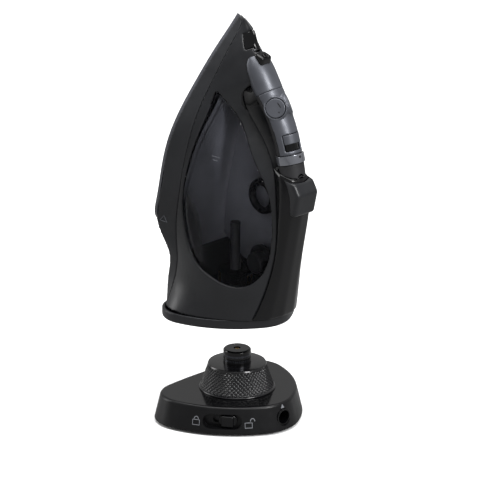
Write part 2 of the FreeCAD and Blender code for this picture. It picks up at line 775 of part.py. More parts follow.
HOUSING = [
    (176, [(9.6, 80), (12.8, 95), (10.6, 107), (0, 110.6)]),
    (158, [(12.6, 91), (15.2, 104), (11.6, 114), (0, 116.6)]),
    (135, [(15, 101), (16.6, 109.5), (12, 116.4), (0, 118.2)]),
    (100, [(16.4, 108.5), (16.6, 113), (12, 117.2), (0, 118.6)]),
    (60, [(21.8, 109.4), (20.6, 113.2), (13, 117.6), (0, 119)]),
    (28, [(30.6, 104.8), (26, 110.5), (15.8, 117), (0, 119.4)]),
    (0, [(35.8, 98.5), (29, 106.5), (16, 116.3), (0, 119.5)]),
]
HOUSING_OUT = loft(HOUSING)
HOUSING_IN = loft([(x + (-2.4 if x > 170 else 0), inset(half, 2.2)) for x, half in HOUSING])
housing = HOUSING_OUT.cut(HOUSING_IN).cut(OUTER).cut(HEEL_ZONE)
box("control_board", "56", "20", "1.6", at_sole(113).multiply(Placement(Vector(88, 0, 0), Rotation())))

heel = prism(footprint(-1.5), HEEL_Z, HEEL_Z + HEEL_HIGH)
low_edges = [edge for edge in heel.Edges if edge.BoundBox.ZMax < HEEL_Z + 0.01]
heel = heel.makeFillet(2.5, low_edges)
heel = heel.cut(prism(footprint(-1.5 - size("heel_wall")), HEEL_Z + size("heel_wall"), HEEL_Z + 40))
socket_mouth = size("cone_foot_radius") + size("socket_gap") + size("socket_wall")
heel = heel.cut(Part.makeCylinder(socket_mouth, 20, DOCK + UP * (HEEL_Z - 5)))
heel_screw_spots = [(-30, 22), (-30, -22), (54, 0)]
HEEL_SCREWS = group([screw((x, y, HEEL_Z + 1.8), (0, 0, 1), 13) for x, y in heel_screw_spots])
feature("heel_screws", HEEL_SCREWS, STAND)
feature("heel_plate", largest(heel.cut(HEEL_SCREWS)), STAND)
skirt = SHELL.common(below_ridge()).cut(SOLE_BLOCK).cut(CASTING_BLOCK).cut(in_iron(HEEL_SCREWS))
feature("skirt", largest(skirt), IRON)

turned(
    "dock_socket",
    [
        ("$cone_foot_radius + $socket_gap", "0"),
        ("$cone_foot_radius + $socket_gap + $socket_wall", "0"),
        ("$cone_foot_radius + $socket_gap + $socket_wall", "2.5"),
        ("$cone_top_radius + $socket_gap + $socket_wall", "$cone_rise + $socket_gap + $socket_wall"),
        ("$post_radius + $socket_gap + $socket_wall", "$cone_rise + $socket_gap + $socket_wall"),
        ("$post_radius + $socket_gap + $socket_wall", "$cone_rise + $post_rise + $socket_gap + $socket_wall"),
        ("0", "$cone_rise + $post_rise + $socket_gap + $socket_wall"),
        ("0", "$cone_rise + $post_rise + $socket_gap"),
        ("$post_radius + $socket_gap", "$cone_rise + $post_rise + $socket_gap"),
        ("$post_radius + $socket_gap", "$cone_rise + $socket_gap"),
        ("$cone_top_radius + $socket_gap", "$cone_rise + $socket_gap"),
        ("$cone_foot_radius + $socket_gap", "2.2"),
    ],
    STAND.multiply(Placement(DOCK + UP * HEEL_Z, Rotation())),
)
SOCKET_TOP = HEEL_Z + size("cone_rise") + size("socket_gap") + size("socket_wall")
contacts = []
for turn in range(3):
    angle = math.radians(120 * turn)
    reach = size("post_radius") + size("socket_gap") + size("socket_wall") + 1.2
    blade = Part.makeBox(1.6, 5, 10, Vector(-0.8, -2.5, 0))
    spot = DOCK + Vector(reach * math.cos(angle), reach * math.sin(angle), SOCKET_TOP + 1)
    blade.Placement = Placement(spot, Rotation(UP, math.degrees(angle)))
    contacts.append(blade)
feature("socket_contacts", group(contacts), STAND)


def wire_run(points, radius=1.2):
    """A wire of straight runs with a ball at each bend."""
    solid = None
    for here, there in zip(points, points[1:]):
        run = Vector(*there) - Vector(*here)
        rod = Part.makeCylinder(radius, run.Length, Vector(*here), run)
        solid = rod if solid is None else solid.fuse(rod)
        solid = solid.fuse(Part.makeSphere(radius, Vector(*there)))
    return solid


wires = [wire_run([(38, 24 * s, 44), (50, 24 * s, 30), (58, 24 * s, 20.5), (105, 24 * s, 18.6)]) for s in (-1, 1)]
feature("wire_harness", group(wires), IRON)

# ---------------------------------------------------------------- handle

# Stations along the grip: x, height above the sole, half width and half thickness.
GRIP = [
    (260.5, 30.5, 8.6, 5.4),
    (255, 34, 12.6, 8.6),
    (246, 42, 14, 11),
    (236, 52.5, 14, 11),
    (224, 66, 13.2, 10.2),
    (210, 78.6, 12.6, 10.2),
    (198, 87, 12.2, 10.4),
    (186, 93.6, 11.9, 10.6),
    (171, 100.5, 11.8, 10.8),
]


def heading(index):
    here = GRIP[max(index - 1, 0)]
    there = GRIP[min(index + 1, len(GRIP) - 1)]
    return Vector(there[0] - here[0], 0, there[1] - here[1]).normalize()


def grip_frame(index):
    """At a station: X across the top, Y across the width, Z along the grip towards the heel."""
    along = heading(index)
    out = Vector(along.z, 0, -along.x)
    x, high = GRIP[index][:2]
    return Placement(Vector(x, 0, high), Rotation(out, Vector(0, 1, 0), along, "ZXY"))


def grip_solid(shrink):
    wires = []
    for index, (x, high, wide, thick) in enumerate(GRIP):
        ring = Part.Ellipse(Vector(0, 0, 0), wide - shrink, thick - shrink).toShape()
        ring.Placement = grip_frame(index).multiply(Placement(Vector(0, 0, 0), Rotation(UP, 90)))
        wires.append(Part.Wire([ring]))
    return Part.makeLoft(wires, True, False)


def grip_half(side):
    """The room on one side of the grip's middle: 1 above, -1 below."""
    wires = []
    for index in range(len(GRIP)):
        edge = 40 * side
        corners = [Vector(0, -30, 0), Vector(edge, -30, 0), Vector(edge, 30, 0), Vector(0, 30, 0)]
        wire = Part.makePolygon(corners + corners[:1])
        wire.Placement = grip_frame(index)
        wires.append(wire)
    return Part.makeLoft(wires, True, True)


def between(start, end):
    """A slab across the grip between two points on its line, given as (x, height)."""
    run = Vector(end[0] - start[0], 0, end[1] - start[1])
    slab = Part.makeBox(80, 80, run.Length, Vector(-40, -40, 0))
    out = Vector(run.z, 0, -run.x)
    slab.Placement = Placement(
        Vector(start[0], 0, start[1]), Rotation(out.normalize(), Vector(0, 1, 0), run.normalize(), "ZXY")
    )
    return slab


GRIP_OUT = grip_solid(0)
GRIP_SHELL = GRIP_OUT.cut(grip_solid(size("handle_wall"))).cut(OUTER).cut(HOUSING_OUT)
UPPER = grip_half(1)

# Rear block: a bevelled cap over the handle's rear end.
BLOCK_LOW = (144, -13, 97)
BLOCK_HIGH = (174, 13, 121.4)


def rear_block():
    solid = block(BLOCK_LOW, BLOCK_HIGH)
    front = [edge for edge in solid.Edges if edge.BoundBox.XMin > BLOCK_HIGH[0] - 0.1
             and edge.BoundBox.ZMin > BLOCK_HIGH[2] - 0.1]
    solid = solid.makeChamfer(8.0, front)
    solid = solid.makeFillet(2.4, [edge for edge in solid.Edges if edge.BoundBox.ZMin > BLOCK_LOW[2] + 1])
    return solid


BLOCK = rear_block()
room = block((BLOCK_LOW[0] + 2.5, -10.5, 60), (BLOCK_HIGH[0] - 2.5, 10.5, 111))
feature("rear_block", largest(BLOCK.cut(room).cut(OUTER).cut(HOUSING_OUT)), IRON)
feature("rear_housing", largest(housing), IRON)

# Selector ring, with the neck it turns on, near the grip's rear end.
ring_axis = Vector(-0.876, 0, 0.482)
RING_MIDDLE = Vector(187.5, 0, 92.9)
RING_START = RING_MIDDLE - ring_axis * (size("selector_length") / 2)
RING_GAP = Part.makeCylinder(30, size("selector_length") + 0.8, RING_START - ring_axis * 0.4, ring_axis)
NECK_ROOM = Part.makeCylinder(size("selector_inner") - 0.3, 40, RING_MIDDLE - ring_axis * 20, ring_axis)
tube("selector_ring", "$selector_outer", "$selector_inner", "$selector_length", aim(IRON, RING_START, ring_axis))
neck_place = aim(IRON, RING_START - ring_axis * 3, ring_axis)
tube("selector_neck", "$selector_inner - 0.3", "$selector_inner - 2", "$selector_length + 6", neck_place)
dot_out = Vector(0.482, 0, 0.876)
cylinder(
    "selector_dot", "1.1", "0.5",
    aim(IRON, RING_MIDDLE + dot_out * size("selector_outer") - ring_axis * 1.5, dot_out),
)

# Steam slider: a saddle on the top of the grip over a dark bed.
SLIDE_START = Vector(206.5, 0, 81.4)
SLIDE_END = Vector(193.2, 0, 89.4)
slide_axis = (SLIDE_END - SLIDE_START).normalize()
SADDLE_ARC = 116


def saddle(outer, inner, start, length, arc_degrees):
    """A sleeve's upper sector about the grip's line at the slider."""
    shape = Part.makeCylinder(outer, length, Vector(0, 0, start), UP, arc_degrees)
    shape = shape.cut(Part.makeCylinder(inner, length + 2, Vector(0, 0, start - 1)))
    shape.rotate(Vector(0, 0, 0), UP, -arc_degrees / 2)
    return shape


SLIDE_FRAME = Placement(
    SLIDE_START, Rotation(Vector(slide_axis.z, 0, -slide_axis.x), Vector(0, 1, 0), slide_axis, "ZXY")
)
feature("steam_slider", saddle(11.7, 9.4, 0.4, 8.2, SADDLE_ARC - 6), IRON.multiply(SLIDE_FRAME))
feature("slider_bed", saddle(9.0, 7.6, 0.1, 14.8, SADDLE_ARC - 1), IRON.multiply(SLIDE_FRAME))
SLIDE_ROOM = saddle(30, 7.5, 0, 15.0, SADDLE_ARC)
SLIDE_ROOM.Placement = SLIDE_FRAME.multiply(SLIDE_ROOM.Placement)

# Thumb buttons: two tilted discs side by side, each on a stem in the pump block.
BUTTON_FRAME = grip_frame(4)
BUTTON_TILT = 45.0
BUTTON_TOP = 12.4
button_under = BUTTON_TOP - size("button_thick")


def button_axis(side):
    tilt = math.radians(BUTTON_TILT) * side
    return Vector(math.cos(tilt), math.sin(tilt), 0)


def along_button(side, distance):
    return IRON.multiply(BUTTON_FRAME).multiply(
        Placement(button_axis(side) * distance, Rotation(UP, button_axis(side)))
    )


BOSSES = None
BORES = None
for side in (-1, 1):
    boss = Part.makeCylinder(size("button_radius") + 1.9, 7.0, button_axis(side) * 4.6, button_axis(side))
    bore = Part.makeCylinder(size("button_radius") + size("button_gap"), 12, button_axis(side) * 6.4,
                             button_axis(side))
    BOSSES = boss if BOSSES is None else BOSSES.fuse(boss)
    BORES = bore if BORES is None else BORES.fuse(bore)
BOSSES.Placement = BUTTON_FRAME
BORES.Placement = BUTTON_FRAME
for name, side in (("spray", 1), ("burst", -1)):
    disc = Part.makeCylinder(size("button_radius"), size("button_thick"), Vector(0, 0, button_under))
    disc = disc.makeFillet(0.8, [e for e in disc.Edges if e.BoundBox.ZMin > BUTTON_TOP - 0.1])
    stem = Part.makeCylinder(size("stem_radius"), size("stem_length"),
                             Vector(0, 0, button_under - size("stem_length") + 0.5))
    feature(name + "_button", disc.fuse(stem), along_button(side, 0))
    tube(name + "_spring", "3.3", "2.6", "4", along_button(side, button_under - 4.1))
pump = Part.makeCylinder(5.6, 16, Vector(0, 0, -8))
for side in (-1, 1):
    pump = pump.cut(Part.makeCylinder(size("stem_radius") + 0.35, 12, button_axis(side) * 2.0, button_axis(side)))
feature("pump_block", pump, IRON.multiply(BUTTON_FRAME))

CAP_END = (234.5, 54.2)
CAP_ZONE = between((275, 10), CAP_END)
front_cap = GRIP_SHELL.common(CAP_ZONE)
feature("handle_front_cap", largest(front_cap), IRON)
REST = GRIP_SHELL.cut(CAP_ZONE).fuse(BOSSES.cut(grip_solid(size("handle_wall"))).cut(CAP_ZONE))
REST = REST.cut(BORES).cut(SLIDE_ROOM).cut(RING_GAP).cut(NECK_ROOM).cut(BLOCK)
feature("handle_upper", largest(REST.common(UPPER)), IRON)
feature("handle_lower", largest(REST.cut(UPPER)), IRON)
tail_start = RING_MIDDLE + ring_axis * (size("selector_length") / 2 + 0.4)
tail = GRIP_SHELL.cut(BLOCK).cut(NECK_ROOM).common(between((tail_start.x, tail_start.z), (165, 105)))
feature("handle_tail", largest(tail), IRON)

# Spray nozzle in front of the handle.
nozzle_at = Vector(262.9, 0, 40.4)
nozzle_aim = Vector(0.9, 0, 0.3).normalize()
nozzle_house = block((250, -6.5, 33), (265.2, 6.5, 44.5))
nozzle_house = nozzle_house.makeFillet(2.6, nozzle_house.Edges)
nozzle_bore = Part.makeCylinder(2.4, 20, nozzle_at - nozzle_aim * 4, nozzle_aim)
feature("nozzle_housing", largest(nozzle_house.cut(OUTER).cut(GRIP_OUT).cut(nozzle_bore)), IRON)
tube("spray_nozzle", "2.4", "0.8", "3.4", aim(IRON, nozzle_at - nozzle_aim * 0.3, nozzle_aim))

feature("body_shell", largest(BODY.cut(in_iron(HEEL_SCREWS))), IRON)

doc.recompute()
for item in nodes:
    if "Invalid" in item.State or "Error" in item.State or item.Shape.isNull() or not item.Shape.isValid():
        raise SystemExit(f"{item.Label} failed: {item.State}")
for item in nodes:
    item.Shape.exportStep(f"parts/{item.Label}.step")
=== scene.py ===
import json
import math

import bmesh
import bpy
from mathutils import Matrix, Vector


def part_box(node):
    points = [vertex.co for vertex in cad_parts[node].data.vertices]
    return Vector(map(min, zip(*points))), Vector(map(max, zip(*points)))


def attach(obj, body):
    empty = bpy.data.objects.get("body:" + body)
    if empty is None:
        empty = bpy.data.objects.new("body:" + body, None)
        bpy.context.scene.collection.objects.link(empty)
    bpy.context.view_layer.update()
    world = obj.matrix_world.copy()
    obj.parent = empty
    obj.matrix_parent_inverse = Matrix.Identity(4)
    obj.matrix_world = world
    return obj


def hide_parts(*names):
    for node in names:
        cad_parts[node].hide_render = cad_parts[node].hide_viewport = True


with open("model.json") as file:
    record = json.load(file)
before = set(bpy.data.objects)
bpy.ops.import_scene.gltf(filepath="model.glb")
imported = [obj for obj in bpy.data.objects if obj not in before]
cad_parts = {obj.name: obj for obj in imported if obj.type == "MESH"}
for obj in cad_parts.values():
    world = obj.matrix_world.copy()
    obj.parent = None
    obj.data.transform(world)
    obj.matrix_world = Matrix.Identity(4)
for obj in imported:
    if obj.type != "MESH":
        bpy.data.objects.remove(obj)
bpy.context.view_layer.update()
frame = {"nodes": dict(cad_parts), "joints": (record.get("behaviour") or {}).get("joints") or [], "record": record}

# Cordless steam iron, nose up above its power base. The iron rides on "iron", the base on "base",
# and each button, slider, ring and door on a body of its own.

MM = 0.001
NODES = frame["nodes"]
BODIES = {node: body for body, nodes in frame["record"]["behaviour"]["bodies"].items() for node in nodes}

CONE_LOW, CONE_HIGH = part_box("knurled_cone")
DOCK = (CONE_LOW + CONE_HIGH) / 2
PLATE_X = DOCK.x - 10.5 * MM
BASE_TOP = CONE_LOW.z

# The iron's own frame: x from heel to nose, y across, z up from the sole.
LEAN = math.radians(13.5)
TO_NOSE = Vector((math.sin(LEAN), 0, math.cos(LEAN)))
FROM_SOLE = Vector((math.cos(LEAN), 0, -math.sin(LEAN)))
HEEL = Vector((PLATE_X - 55.8 * MM, 0, BASE_TOP + 73 * MM))
IRON = Matrix.Translation(HEEL) @ Matrix((TO_NOSE, (0, -1, 0), FROM_SOLE)).transposed().to_4x4()


# ---------------------------------------------------------------- materials

def linear(code):
    """An sRGB hex colour as linear red, green, blue and alpha."""
    parts = [int(code[place:place + 2], 16) / 255 for place in (1, 3, 5)]
    return [part / 12.92 if part <= 0.04045 else ((part + 0.055) / 1.055) ** 2.4 for part in parts] + [1.0]


def add(tree, kind, values=None, links=None, **settings):
    """Adds a node with its settings, its sockets' values and the links into its sockets."""
    item = tree.nodes.new(kind)
    for name, value in settings.items():
        setattr(item, name, value)
    for name, value in (values or {}).items():
        item.inputs[name].default_value = value
    for name, source in (links or {}).items():
        tree.links.new(source, item.inputs[name])
    return item


def blank(name):
    """A new material with an empty node tree."""
    material = bpy.data.materials.new(name)
    material.use_nodes = True
    material.node_tree.nodes.clear()
    return material, material.node_tree


def per_metre(size_mm):
    """The scale of a pattern whose features are that many millimetres across."""
    return 1 / (size_mm * MM)


def spread(tree, source, low, high, start=0.35, end=0.65):
    """A pattern's grey stretched to run from low to high."""
    return add(tree, "ShaderNodeMapRange", {
        "From Min": start, "From Max": end, "To Min": low, "To Max": high,
    }, {"Value": source}).outputs["Result"]


def two_tone(tree, factor, first, second):
    """One colour where the factor is 0, the other where it is 1."""
    mix = add(tree, "ShaderNodeMix", {6: linear(first), 7: linear(second)}, {0: factor},
              data_type="RGBA")
    return mix.outputs[2]


def moulded(name, tone, rubbed, rough, grain_mm, relief_mm, specular=0.5, coat=0.0, metallic=0.0):
    """A moulded surface: the tool's grain in relief, a faint drift of colour and hands' polish."""
    material, tree = blank(name)
    place = add(tree, "ShaderNodeTexCoord").outputs["Object"]
    drift = add(tree, "ShaderNodeTexNoise", {"Scale": per_metre(45), "Detail": 3.0}, {"Vector": place})
    streak = add(tree, "ShaderNodeTexNoise", {"Scale": per_metre(9), "Detail": 5.0}, {"Vector": place})
    grain = add(tree, "ShaderNodeTexNoise", {"Scale": per_metre(grain_mm), "Detail": 2.0}, {"Vector": place})
    bump = add(tree, "ShaderNodeBump", {"Strength": 0.6, "Distance": relief_mm * MM},
               {"Height": grain.outputs[0]})
    colour = two_tone(tree, spread(tree, drift.outputs[0], 0.0, 1.0), tone, rubbed)
    roughness = spread(tree, streak.outputs[0], rough * 0.88, rough * 1.14)
    shader = add(tree, "ShaderNodeBsdfPrincipled", {
        "Specular IOR Level": specular, "Coat Weight": coat, "Coat Roughness": 0.06, "Metallic": metallic,
    }, {"Base Color": colour, "Roughness": roughness, "Normal": bump.outputs[0]})
    add(tree, "ShaderNodeOutputMaterial", links={"Surface": shader.outputs[0]})
    return material


# Satin ABS, spark-eroded in the tool: a fine even grain and a broad soft highlight.
SATIN_ABS = moulded("satin_abs", "#121316", "#191a1d", 0.36, 0.7, 0.02, specular=0.42)
# The power base's satin ABS in a blacker copy: painted shade that offsets the top lamp's stronger light on the
# base, so that the lit top edge stands out.
BASE_ABS_PAINTED_SHADE = moulded("satin_base_abs_painted_shade", "#070709", "#0c0c0e", 0.34, 0.7, 0.02, specular=0.28)
# Glass-filled heat-resistant plastic next to the sole: rougher, with a visible grain.
TEXTURED_PBT = moulded("textured_pbt", "#17181b", "#1e1f22", 0.50, 0.9, 0.05, specular=0.4)
# Polished ABS from a mirror tool: sharp reflections, a trace of waviness.
POLISHED_ABS = moulded("polished_abs", "#060607", "#09090b", 0.12, 6.0, 0.01, specular=0.32)
# Satin paint on the grip's top: a fine metal flake lifts the highlight. Its mid grey is partly painted sheen:
# lighter than the dark plastic, it stands in for the lamp's broad reflection on the grip.
SATIN_PAINT_SHEEN_GREY = moulded("satin_grey_abs_painted_sheen", "#4b4d53", "#56585f", 0.40, 0.5, 0.012, coat=0.08, metallic=0.5)
# Soft-touch elastomer under the fingers: no sharp highlight.
SOFT_TOUCH = moulded("soft_touch_elastomer", "#111113", "#18181b", 0.62, 0.6, 0.03)
# Hard chrome-look lacquer in smoke grey on the turning collar.
SMOKE_LACQUER = moulded("smoke_lacquer", "#6c6e75", "#7b7d84", 0.16, 4.0, 0.008, coat=0.8, metallic=0.7)
# Glass-filled nylon of the docking cone: hard and glossy, so that each facet of the knurl glints.
HARD_NYLON = moulded("glass_filled_nylon", "#0a0a0c", "#101013", 0.17, 0.8, 0.01, specular=0.6)
# Smoke-grey nylon inside the tank, made pale: painted light that stands in for the light in the tank seen through
# the smoked windows, and the ground that the dark hose and tube stand out from.
TANK_GREY_PAINTED_LIGHT = moulded("smoke_grey_nylon_painted_light", "#8b8d94", "#9b9da4", 0.35, 8.0, 0.02)
# Black nylon of the inner parts: matt, with a fine grain.
INNER_NYLON = moulded("inner_nylon", "#1b1b1e", "#2a2a2d", 0.45, 1.2, 0.03)
# Black silicone: smooth and slightly oily.
SILICONE = moulded("black_silicone", "#0b0b0d", "#121215", 0.28, 3.0, 0.02)
# Heat-resistant red silicone of the chamber's gasket.
RED_SILICONE = moulded("red_silicone", "#8e2c20", "#9a3a2a", 0.5, 2.0, 0.03)
# Rubber of the feet: dull and grained.
RUBBER = moulded("foot_rubber", "#1a1a1a", "#232323", 0.75, 1.0, 0.05)
# Grey ink printed on the base, and a fainter one on the iron.
PAD_PRINT = moulded("pad_print", "#75777c", "#85878c", 0.55, 1.5, 0.01)
FAINT_PRINT = moulded("faint_grey_print", "#4c4e53", "#5a5c61", 0.55, 1.5, 0.01)
# Ceramic coat on the aluminium sole: dark, slightly speckled and slick.
CERAMIC_COAT = moulded("ceramic_coat", "#34353a", "#45464c", 0.26, 0.5, 0.01, coat=0.4)
# Green solder mask of the control board.
CIRCUIT_BOARD = moulded("circuit_board", "#12482c", "#1a5a38", 0.4, 1.2, 0.01)
# Woven glass-fibre sleeve on the wires: pale and dull.
GLASS_SLEEVE = moulded("glass_fibre_sleeve", "#a79f8e", "#bbb3a2", 0.8, 0.6, 0.08)


def metal(name, tone, rubbed, rough, line_mm):
    """A worked metal: fine lines left by the tool, brighter where it is rubbed."""
    material, tree = blank(name)
    place = add(tree, "ShaderNodeTexCoord").outputs["Object"]
    stretched = add(tree, "ShaderNodeMapping", {"Scale": (1.0, 1.0, 0.06)}, {"Vector": place})
    lines = add(tree, "ShaderNodeTexNoise", {"Scale": per_metre(line_mm), "Detail": 4.0},
                {"Vector": stretched.outputs[0]})
    bump = add(tree, "ShaderNodeBump", {"Strength": 0.4, "Distance": 0.01 * MM},
               {"Height": lines.outputs[0]})
    colour = two_tone(tree, spread(tree, lines.outputs[0], 0.0, 1.0), tone, rubbed)
    roughness = spread(tree, lines.outputs[0], rough * 0.8, rough * 1.3)
    shader = add(tree, "ShaderNodeBsdfPrincipled", {"Metallic": 1.0},
                 {"Base Color": colour, "Roughness": roughness, "Normal": bump.outputs[0]})
    add(tree, "ShaderNodeOutputMaterial", links={"Surface": shader.outputs[0]})
    return material


# Die-cast aluminium: grey and dull.
CAST_ALUMINIUM = metal("cast_aluminium", "#a3a3a6", "#b7b7ba", 0.5, 1.5)
# Zinc-plated steel of screws, springs and pins: bright and finely drawn.
ZINC_STEEL = metal("zinc_plated_steel", "#9b9ca0", "#b5b6ba", 0.3, 0.6)
# Steel browned by heat.
HEATED_STEEL = metal("heat_tinted_steel", "#6f675e", "#8a8075", 0.4, 0.8)
# Black nickel of the contact rings: dark, with a clean glint.
BLACK_NICKEL = metal("black_nickel", "#3a3b3f", "#4c4d52", 0.25, 0.5)
# Turned brass of the contacts and the valve.
BRASS = metal("turned_brass", "#b08a45", "#caa45c", 0.28, 0.5)


def clear_plastic(name, passed, body, solid_share, rough):
    """Tinted see-through plastic: part of the light passes, the rest meets a glossy dark skin."""
    material, tree = blank(name)
    place = add(tree, "ShaderNodeTexCoord").outputs["Object"]
    smear = add(tree, "ShaderNodeTexNoise", {"Scale": per_metre(14), "Detail": 4.0}, {"Vector": place})
    gloss = add(tree, "ShaderNodeBsdfPrincipled", {"Base Color": linear(body), "IOR": 1.58},
                {"Roughness": spread(tree, smear.outputs[0], rough * 0.7, rough * 1.5)})
    through = add(tree, "ShaderNodeBsdfTransparent", {"Color": linear(passed)})
    rim = add(tree, "ShaderNodeLayerWeight", {"Blend": 0.35})
    share = add(tree, "ShaderNodeMapRange", {"To Min": solid_share, "To Max": 0.7},
                {"Value": rim.outputs["Fresnel"]})
    mix = add(tree, "ShaderNodeMixShader", links={
        0: share.outputs[0], 1: through.outputs[0], 2: gloss.outputs[0],
    })
    add(tree, "ShaderNodeOutputMaterial", links={"Surface": mix.outputs[0]})
    return material


# Polycarbonate window: almost clear from straight on, dark and glossy where it curves away.
SMOKED_WINDOW = clear_plastic("smoked_polycarbonate", "#fafafc", "#101114", 0.03, 0.05)
# The tank behind it: clearer still, seen by its edges.
TANK_PLASTIC = clear_plastic("tinted_tank_plastic", "#fefefe", "#26282c", 0.0, 0.10)


# ---------------------------------------------------------------- piece making

# Faces that meet at more than this are an edge.
EDGE_ANGLE = math.radians(32)


def settle(mesh, name, body, materials, edge_angle=None):
    """Makes a mesh a finished piece: linked, shaded, named, and riding on its body."""
    piece = bpy.data.objects.new(name, mesh)
    bpy.context.scene.collection.objects.link(piece)
    mesh.materials.clear()
    for material in materials:
        mesh.materials.append(material)
    mesh.shade_smooth()
    if edge_angle:
        mesh.set_sharp_from_angle(angle=edge_angle)
    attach(piece, body)
    return piece


def applied(mesh, changes):
    """A copy of a mesh with modifiers applied: a list of (type, settings)."""
    helper = bpy.data.objects.new("helper", mesh)
    bpy.context.scene.collection.objects.link(helper)
    for kind, settings in changes:
        change = helper.modifiers.new(kind, kind)
        for name, value in settings.items():
            setattr(change, name, value)
    bpy.context.view_layer.update()
    evaluated = helper.evaluated_get(bpy.context.evaluated_depsgraph_get())
    result = bpy.data.meshes.new_from_object(evaluated)
    bpy.data.objects.remove(helper)
    return result


def welded(node):
    """A copy of a CAD node's mesh with its corners joined."""
    mesh = NODES[node].data.copy()
    work = bmesh.new()
    work.from_mesh(mesh)
    bmesh.ops.remove_doubles(work, verts=work.verts, dist=0.002 * MM)
    work.to_mesh(mesh)
    work.free()
    mesh.validate()
    for old in list(mesh.attributes):
        if old.name == "custom_normal":
            mesh.attributes.remove(old)
    return mesh


def moulding(node, material, cell_mm=0.8, passes=6, extra=()):
    """A CAD shell redrawn as an even mesh whose edges are rounded as a mould leaves them."""
    mesh = applied(welded(node), [
        ("REMESH", {"mode": "VOXEL", "voxel_size": cell_mm * MM, "use_smooth_shade": True}),
        ("SMOOTH", {"factor": 0.5, "iterations": passes}),
    ])
    piece = settle(mesh, node + "_moulding", BODIES[node], [material, *extra])
    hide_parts(node)
    return piece


def repaint(piece, index, chosen):
    """Gives a piece's faces another of its materials where chosen(centre, normal) holds."""
    for face in piece.data.polygons:
        if chosen(face.center, face.normal):
            face.material_index = index


def machined(node, material, edge_mm=0.25, extra=()):
    """A CAD solid with its sharp edges broken by a small bevel."""
    mesh = applied(welded(node), [
        ("BEVEL", {"width": edge_mm * MM, "segments": 2, "limit_method": "ANGLE",
                   "angle_limit": EDGE_ANGLE}),
    ])
    mesh.shade_smooth()
    mesh.set_sharp_from_angle(angle=EDGE_ANGLE)
    mesh = applied(mesh, [("WEIGHTED_NORMAL", {"keep_sharp": True, "weight": 100})])
    piece = settle(mesh, node + "_finished", BODIES[node], [material, *extra])
    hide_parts(node)
    return piece


def dressed(node, material):
    """A CAD node that stays as it is, in its real material."""
    mesh = NODES[node].data
    mesh.materials.clear()
    mesh.materials.append(material)
    mesh.shade_smooth()


def spun(profile, centre, steps, relief):
    """A closed mesh turned about a vertical axis from (radius, height) pairs in millimetres.

    relief(turn, radius, height) is added to each radius.
    """
    work = bmesh.new()
    rings = []
    for radius, height in profile:
        ring = []
        for step in range(steps):
            turn = 2 * math.pi * step / steps
            grown = radius + relief(turn, radius, height)
            ring.append(work.verts.new((
                centre.x + grown * MM * math.cos(turn), centre.y + grown * MM * math.sin(turn),
                centre.z + height * MM,
            )))
        rings.append(ring)
    for here, there in zip(rings, rings[1:] + rings[:1]):
        for step in range(steps):
            after = (step + 1) % steps
            work.faces.new((here[step], here[after], there[after], there[step]))
    bmesh.ops.recalc_face_normals(work, faces=work.faces)
    mesh = bpy.data.meshes.new("spun")
    work.to_mesh(mesh)
    work.free()
    return mesh


def plates(name, outlines, thick, place, body, materials, edge_mm=0.0):
    """Flat plates of outlines in millimetres as one piece, their thickness along the place's Z."""
    work = bmesh.new()
    for outline in outlines:
        corners = [
            work.verts.new(place @ Vector((across * MM, along * MM, 0))) for across, along in outline
        ]
        grown = bmesh.ops.extrude_face_region(work, geom=[work.faces.new(corners)])
        rise = place.to_3x3() @ Vector((0, 0, thick * MM))
        tops = [part for part in grown["geom"] if isinstance(part, bmesh.types.BMVert)]
        bmesh.ops.translate(work, verts=tops, vec=rise)
    bmesh.ops.recalc_face_normals(work, faces=work.faces)
    mesh = bpy.data.meshes.new(name)
    work.to_mesh(mesh)
    work.free()
    if edge_mm:
        mesh = applied(mesh, [("BEVEL", {"width": edge_mm * MM, "segments": 2, "limit_method": "ANGLE"})])
    return settle(mesh, name, body, materials, EDGE_ANGLE)


def stroke(path, wide):
    """The outline of a line of an even width along a path in millimetres."""
    left = []
    right = []
    for index, point in enumerate(path):
        before = Vector(path[max(index - 1, 0)])
        after = Vector(path[min(index + 1, len(path) - 1)])
        run = (after - before).normalized() * wide / 2
        left.append((point[0] - run.y, point[1] + run.x))
        right.append((point[0] + run.y, point[1] - run.x))
    return left + right[::-1]


def facing(spot, out, up):
    """A place at a point, its Z along out and its Y towards up."""
    along = (up - out * up.dot(out)).normalized()
    return Matrix.Translation(spot) @ Matrix((along.cross(out), along, out)).transposed().to_4x4()


def on_surface(piece, near, up):
    """A place on a piece's surface closest to a point, its Z outwards and its Y towards up."""
    _, spot, normal, _ = piece.closest_point_on_mesh(near)
    return facing(spot, normal, up)


# ---------------------------------------------------------------- iron

def tank_baffle_painted_light():
    """The rib along the tank's middle, seen through the smoked windows: a pale sheet whose grey is painted light
    for the lit inside of the tank.
    """
    outline = [
        (80, 32), (120, 27), (216, 26), (196, 44), (176, 62), (160, 78), (140, 90), (112, 99), (80, 99),
        (70, 90), (69, 60),
    ]
    place = IRON @ Matrix.Translation((0, 0.6 * MM, 0)) @ Matrix.Rotation(math.radians(90), 4, "X")
    plates("tank_baffle_painted_light", [outline], 1.2, place, "iron", [TANK_GREY_PAINTED_LIGHT], 0.3)


def level_mark(window):
    """A long and a short fill level tick printed on the near window."""
    place = on_surface(window, IRON @ Vector((169 * MM, 39 * MM, 41 * MM)), TO_NOSE)
    ticks = [stroke([(-half, rise), (half, rise)], 0.6) for rise, half in ((3, 3.5), (0, 2))]
    plates("level_ticks", ticks, 0.1, place, "iron", [FAINT_PRINT])


